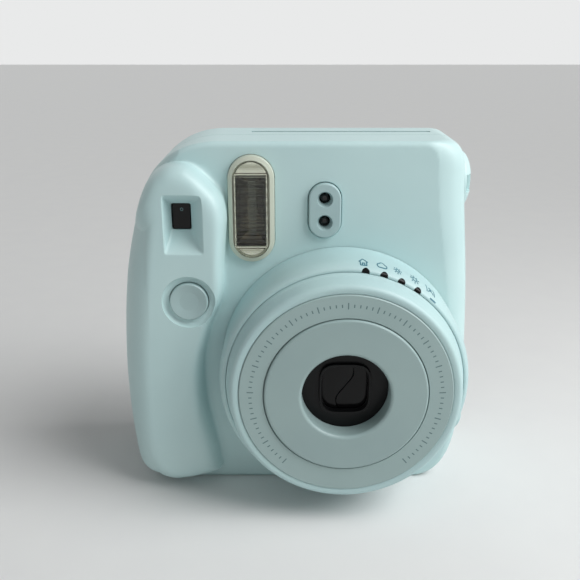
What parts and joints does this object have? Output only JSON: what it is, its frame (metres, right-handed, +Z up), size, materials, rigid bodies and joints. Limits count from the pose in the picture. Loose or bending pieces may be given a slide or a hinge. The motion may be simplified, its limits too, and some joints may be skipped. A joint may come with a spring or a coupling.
{
  "type": "instant camera",
  "caption": "Rounded plastic instant camera with collapsible lens barrel, brightness dial, flash, viewfinder, side grip, hinged film door and battery door.",
  "frame": {"origin": "on the ground under the middle of the camera's bounding box", "axes": "+X to the right seen from the front, +Y from the lens side to the back, +Z up"},
  "size_m": [0.116, 0.0682, 0.1183],
  "materials": {
    "shell_plastic": "satin",
    "black_plastic": "matte",
    "clear_plastic": "gloss",
    "smoked_plastic": "gloss",
    "bright_steel": "satin",
    "white_plastic": "satin",
    "battery_jacket": "gloss",
    "circuit_laminate": "satin"
  },
  "bodies": {
    "camera_body": {"front_cover": "shell_plastic", "rear_cover": "shell_plastic", "hinge_pin": "bright_steel", "strap_lug": "shell_plastic", "lens_base_ring": "shell_plastic", "exposure_lamp_1": "smoked_plastic", "exposure_lamp_2": "smoked_plastic", "exposure_lamp_3": "smoked_plastic", "exposure_lamp_4": "smoked_plastic", "light_funnel": "black_plastic", "shutter_spring": "bright_steel", "shutter_switch": "black_plastic", "flash_lens": "clear_plastic", "flash_reflector": "bright_steel", "flash_tube": "clear_plastic", "flash_capacitor": "black_plastic", "sensor_bezel": "shell_plastic", "sensor_window_upper": "smoked_plastic", "sensor_window_lower": "smoked_plastic", "finder_window": "smoked_plastic", "finder_tube": "black_plastic", "eyepiece_frame": "black_plastic", "eyepiece_lens": "clear_plastic", "film_chamber": "black_plastic", "drive_motor": "bright_steel", "battery_tray": "black_plastic", "battery_front": "battery_jacket", "battery_back": "battery_jacket", "battery_contact_top": "bright_steel", "battery_contact_bottom": "bright_steel", "circuit_board": "circuit_laminate"},
    "back_door": {"film_door": "shell_plastic", "film_door_window": "smoked_plastic", "counter_window": "clear_plastic", "pack_spring_left": "bright_steel", "pack_spring_right": "bright_steel"},
    "door_latch": {"film_door_latch": "shell_plastic"},
    "battery_hatch": {"battery_door": "shell_plastic"},
    "dial": {"brightness_dial": "shell_plastic"},
    "barrel": {"lens_barrel": "shell_plastic", "front_disc": "shell_plastic", "lens_cover_plate": "black_plastic", "shutter_unit": "black_plastic", "lens_tube": "black_plastic", "front_lens": "clear_plastic", "rear_lens": "clear_plastic"},
    "leaf_left": {"lens_cover_leaf_left": "black_plastic"},
    "leaf_right": {"lens_cover_leaf_right": "black_plastic"},
    "release": {"shutter_button": "shell_plastic"},
    "power": {"power_button": "shell_plastic"},
    "roller_front": {"film_roller_front": "bright_steel", "roller_gear_front": "white_plastic"},
    "roller_back": {"film_roller_back": "bright_steel", "roller_gear_back": "white_plastic"},
    "idler": {"idler_gear": "white_plastic"},
    "pinion": {"motor_pinion": "white_plastic"},
    "counter": {"counter_wheel": "white_plastic"}
  },
  "joints": [
    {"name": "barrel_extension", "type": "slide", "parent": "camera_body", "child": "barrel", "axis": [0, -1, 0], "range_m": [0, 0.016]},
    {"name": "leaf_left_swing", "type": "hinge", "parent": "barrel", "child": "leaf_left", "pos_m": [0.0018, -0.0292, 0.0591], "axis": [0, 1, 0], "range_deg": [0, 52]},
    {"name": "leaf_right_swing", "type": "hinge", "parent": "barrel", "child": "leaf_right", "pos_m": [0.0288, -0.0292, 0.0321], "axis": [0, 1, 0], "range_deg": [0, 52]},
    {"name": "brightness_dial_turn", "type": "hinge", "parent": "camera_body", "child": "dial", "pos_m": [0.0153, -0.025, 0.0456], "axis": [0, 1, 0], "range_deg": [0, 34.4]},
    {"name": "shutter_press", "type": "slide", "parent": "camera_body", "child": "release", "axis": [0, 1, 0], "range_m": [0, 0.0015], "stiffness_N_per_m": 1000, "springref_m": -0.001, "deforming": ["shutter_spring"]},
    {"name": "power_press", "type": "slide", "parent": "camera_body", "child": "power", "axis": [0, 1, 0], "range_m": [0, 0.0012], "stiffness_N_per_m": 1000, "springref_m": -0.001},
    {"name": "film_door_swing", "type": "hinge", "parent": "camera_body", "child": "back_door", "pos_m": [0.0483, 0.0318, 0.058], "axis": [0, 0, -1], "range_deg": [0, 100]},
    {"name": "door_latch_slide", "type": "slide", "parent": "back_door", "child": "door_latch", "axis": [1, 0, 0], "range_m": [0, 0.003], "stiffness_N_per_m": 300, "springref_m": -0.002},
    {"name": "battery_door_lift", "type": "slide", "parent": "camera_body", "child": "battery_hatch", "axis": [-1, 0, 0], "range_m": [0, 0.014]},
    {"name": "film_roller_front_turn", "type": "hinge", "parent": "camera_body", "child": "roller_front", "pos_m": [0.0153, 0.01425, 0.1065], "axis": [1, 0, 0], "continuous": true},
    {"name": "film_roller_back_turn", "type": "hinge", "parent": "camera_body", "child": "roller_back", "pos_m": [0.0153, 0.01975, 0.1065], "axis": [1, 0, 0], "continuous": true},
    {"name": "idler_gear_turn", "type": "hinge", "parent": "camera_body", "child": "idler", "pos_m": [0.0495, 0.00817, 0.10255], "axis": [1, 0, 0], "continuous": true},
    {"name": "motor_pinion_turn", "type": "hinge", "parent": "camera_body", "child": "pinion", "pos_m": [0.0495, 0.00334, 0.0982], "axis": [1, 0, 0], "continuous": true},
    {"name": "counter_wheel_turn", "type": "hinge", "parent": "camera_body", "child": "counter", "pos_m": [-0.0258, 0.0294, 0.022], "axis": [0, 1, 0], "range_deg": [0, 330]}
  ],
  "couplings": [
    {"joint": "leaf_left_swing", "follows": "barrel_extension", "rad_per_m": 56.7},
    {"joint": "leaf_right_swing", "follows": "barrel_extension", "rad_per_m": 56.7},
    {"joint": "film_roller_back_turn", "follows": "film_roller_front_turn", "ratio": -1},
    {"joint": "idler_gear_turn", "follows": "film_roller_front_turn", "ratio": -0.61111},
    {"joint": "motor_pinion_turn", "follows": "film_roller_front_turn", "ratio": 1.375}
  ]
}
